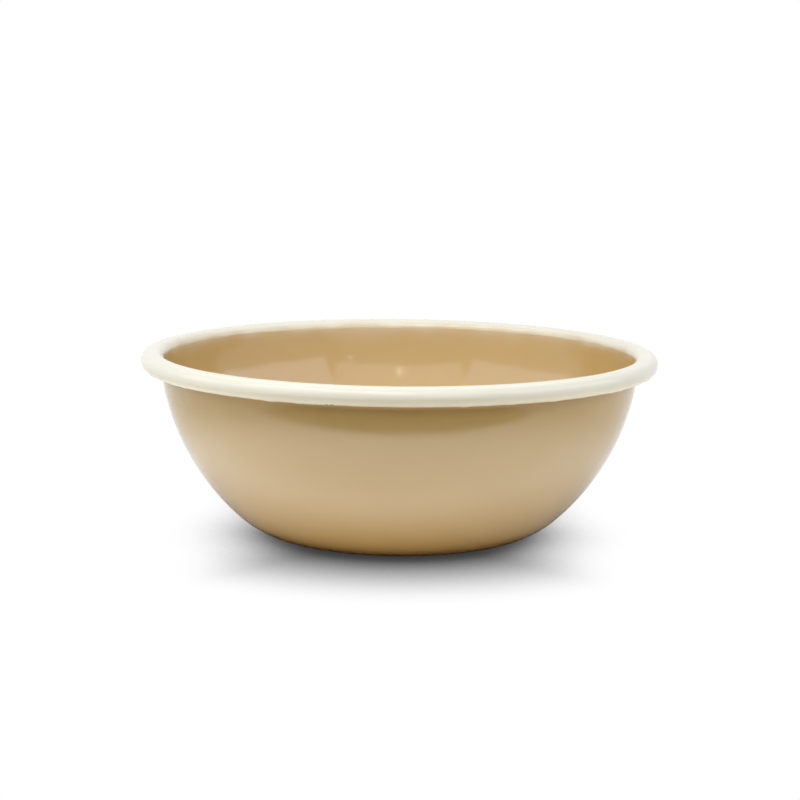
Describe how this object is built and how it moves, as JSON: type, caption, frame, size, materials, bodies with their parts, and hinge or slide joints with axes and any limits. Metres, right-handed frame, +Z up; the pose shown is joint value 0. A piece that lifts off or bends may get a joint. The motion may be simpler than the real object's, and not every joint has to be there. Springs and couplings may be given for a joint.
{
  "type": "enamel pet bowl",
  "caption": "Round enamelled steel feeding bowl with a spherical wall, a flat standing foot and a curled rim in a contrasting colour.",
  "frame": {"origin": "centre of the base, on the surface that the bowl stands on", "axes": "+Z up along the axis of the bowl; +X and +Y lie in the plane of the surface"},
  "size_m": [0.18, 0.18, 0.065],
  "materials": {
    "pressed_steel": "satin",
    "ground_enamel": "gloss",
    "tan_enamel": "gloss",
    "cream_enamel": "gloss"
  },
  "bodies": {
    "root": {"steel_shell": "pressed_steel", "ground_coat_inside": "ground_enamel", "ground_coat_outside": "ground_enamel", "cover_coat_inside": "tan_enamel", "cover_coat_outside": "tan_enamel", "base_coat": "tan_enamel", "rim_coat": "cream_enamel"}
  },
  "joints": []
}
